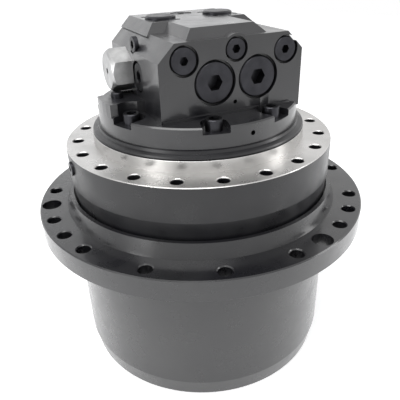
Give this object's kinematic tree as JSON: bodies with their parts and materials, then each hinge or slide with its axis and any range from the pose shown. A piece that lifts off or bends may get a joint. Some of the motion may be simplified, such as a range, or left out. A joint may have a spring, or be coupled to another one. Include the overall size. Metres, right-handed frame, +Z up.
{
  "type": "hydraulic final drive",
  "caption": "Hydraulic travel motor with a two-stage planetary reduction: rotating sprocket hub, fixed frame spindle and valve block, with gears, bearings and brake inside.",
  "frame": {"origin": "centre of the end cover's bottom face, at the foot of the standing drive", "axes": "+Z up along the hub's axis of rotation, -Y out of the valve block's plug face, +X to the right of that face"},
  "size_m": [0.3999, 0.4, 0.4107],
  "materials": {
    "paint_black": "satin-gloss black machine paint",
    "cast_spindle": "painted casting with machined steel-grey faces",
    "black_oxide": "black oxide, slightly oily",
    "gear_steel": "case-hardened steel, ground",
    "bearing_steel": "polished bearing steel",
    "cage_steel": "pressed sheet steel",
    "bronze": "plain bearing bronze",
    "friction": "sintered friction lining",
    "nitrile": "nitrile rubber",
    "spring_steel": "spring steel, oil tempered",
    "zinc_grey": "zinc-plated steel",
    "iron": "bare cast iron"
  },
  "bodies": {
    "spindle": {"spindle": "cast_spindle", "valve_block": "paint_black", "valve_block_screws": "black_oxide", "check_valve_plugs": "black_oxide", "pilot_plugs": "black_oxide", "relief_valves": "black_oxide", "counterbalance_caps": "zinc_grey", "port_caps": "black_oxide", "drain_plugs": "black_oxide", "case_plug": "black_oxide", "second_carrier": "iron", "second_planet_pins": "bearing_steel", "bearing_inner_rings": "bearing_steel", "bearing_nut": "black_oxide", "upper_seal_ring": "bearing_steel", "upper_seal_cord": "nitrile", "swash_plate": "gear_steel", "valve_plate": "bronze", "separator_plates": "zinc_grey", "shaft_seal": "nitrile", "brake_springs": "spring_steel", "shaft_bearings": "bearing_steel"},
    "hub": {"hub": "paint_black", "ring_gear": "gear_steel", "end_cover": "paint_black", "end_cover_screws": "black_oxide", "cover_plugs": "black_oxide", "thrust_pad": "bronze", "bearing_outer_rings": "bearing_steel", "lower_seal_ring": "bearing_steel", "lower_seal_cord": "nitrile"},
    "first_carrier": {"first_carrier": "gear_steel", "first_planet_pins": "bearing_steel", "second_sun": "gear_steel"},
    "first_planet_1": {"first_planet_1": "gear_steel"},
    "first_planet_2": {"first_planet_2": "gear_steel"},
    "first_planet_3": {"first_planet_3": "gear_steel"},
    "second_planet_1": {"second_planet_1": "gear_steel"},
    "second_planet_2": {"second_planet_2": "gear_steel"},
    "second_planet_3": {"second_planet_3": "gear_steel"},
    "second_planet_4": {"second_planet_4": "gear_steel"},
    "motor_shaft": {"motor_shaft": "gear_steel", "first_sun": "gear_steel", "cylinder_block": "gear_steel", "pistons": "bearing_steel", "piston_shoes": "bronze", "retainer_plate": "gear_steel", "retainer_guide": "gear_steel", "friction_discs": "friction"},
    "bearing_rollers": {"bearing_rollers": "bearing_steel", "bearing_cages": "cage_steel"},
    "brake_piston": {"brake_piston": "iron"},
    "counterbalance_spool": {"counterbalance_spool": "bearing_steel", "spool_springs": "spring_steel"},
    "speed_spool": {"speed_spool": "bearing_steel"},
    "left_check_poppet": {"left_check_poppet": "bearing_steel"},
    "right_check_poppet": {"right_check_poppet": "bearing_steel"}
  },
  "joints": [
    {"name": "hub_spin", "type": "hinge", "parent": "spindle", "child": "hub", "pos_m": [0, 0, 0], "axis": [0, 0, 1], "continuous": true},
    {"name": "first_carrier_spin", "type": "hinge", "parent": "spindle", "child": "first_carrier", "pos_m": [0, 0, 0.06], "axis": [0, 0, 1], "continuous": true},
    {"name": "motor_spin", "type": "hinge", "parent": "spindle", "child": "motor_shaft", "pos_m": [0, 0, 0.2], "axis": [0, 0, 1], "continuous": true},
    {"name": "roller_orbit", "type": "hinge", "parent": "spindle", "child": "bearing_rollers", "pos_m": [0, 0, 0.17], "axis": [0, 0, 1], "continuous": true},
    {"name": "first_planet_1_spin", "type": "hinge", "parent": "first_carrier", "child": "first_planet_1", "pos_m": [0.06825, 0, 0.044], "axis": [0, 0, 1], "continuous": true},
    {"name": "first_planet_2_spin", "type": "hinge", "parent": "first_carrier", "child": "first_planet_2", "pos_m": [-0.03413, 0.05911, 0.044], "axis": [0, 0, 1], "continuous": true},
    {"name": "first_planet_3_spin", "type": "hinge", "parent": "first_carrier", "child": "first_planet_3", "pos_m": [-0.03413, -0.05911, 0.044], "axis": [0, 0, 1], "continuous": true},
    {"name": "second_planet_1_spin", "type": "hinge", "parent": "spindle", "child": "second_planet_1", "pos_m": [0.077, 0, 0.1], "axis": [0, 0, 1], "continuous": true},
    {"name": "second_planet_2_spin", "type": "hinge", "parent": "spindle", "child": "second_planet_2", "pos_m": [0, 0.077, 0.1], "axis": [0, 0, 1], "continuous": true},
    {"name": "second_planet_3_spin", "type": "hinge", "parent": "spindle", "child": "second_planet_3", "pos_m": [-0.077, 0, 0.1], "axis": [0, 0, 1], "continuous": true},
    {"name": "second_planet_4_spin", "type": "hinge", "parent": "spindle", "child": "second_planet_4", "pos_m": [0, -0.077, 0.1], "axis": [0, 0, 1], "continuous": true},
    {"name": "brake_release", "type": "slide", "parent": "spindle", "child": "brake_piston", "axis": [0, 0, 1], "range_m": [0, 0.002], "stiffness_N_per_m": 20000, "springref_m": -0.001, "deforming": ["brake_springs"]},
    {"name": "counterbalance_shift", "type": "slide", "parent": "spindle", "child": "counterbalance_spool", "axis": [1, 0, 0], "range_m": [-0.005, 0.005]},
    {"name": "speed_shift", "type": "slide", "parent": "spindle", "child": "speed_spool", "axis": [0, 1, 0], "range_m": [0, 0.006]},
    {"name": "left_check_lift", "type": "slide", "parent": "spindle", "child": "left_check_poppet", "axis": [0, -1, 0], "range_m": [0, 0.006]},
    {"name": "right_check_lift", "type": "slide", "parent": "spindle", "child": "right_check_poppet", "axis": [0, -1, 0], "range_m": [0, 0.006]}
  ],
  "couplings": [
    {"joint": "first_carrier_spin", "follows": "hub_spin", "ratio": -3},
    {"joint": "motor_spin", "follows": "hub_spin", "ratio": -25},
    {"joint": "roller_orbit", "follows": "hub_spin", "ratio": 0.5273},
    {"joint": "first_planet_1_spin", "follows": "hub_spin", "ratio": 9.7778},
    {"joint": "first_planet_2_spin", "follows": "hub_spin", "ratio": 9.7778},
    {"joint": "first_planet_3_spin", "follows": "hub_spin", "ratio": 9.7778},
    {"joint": "second_planet_1_spin", "follows": "hub_spin", "ratio": 3},
    {"joint": "second_planet_2_spin", "follows": "hub_spin", "ratio": 3},
    {"joint": "second_planet_3_spin", "follows": "hub_spin", "ratio": 3},
    {"joint": "second_planet_4_spin", "follows": "hub_spin", "ratio": 3}
  ]
}
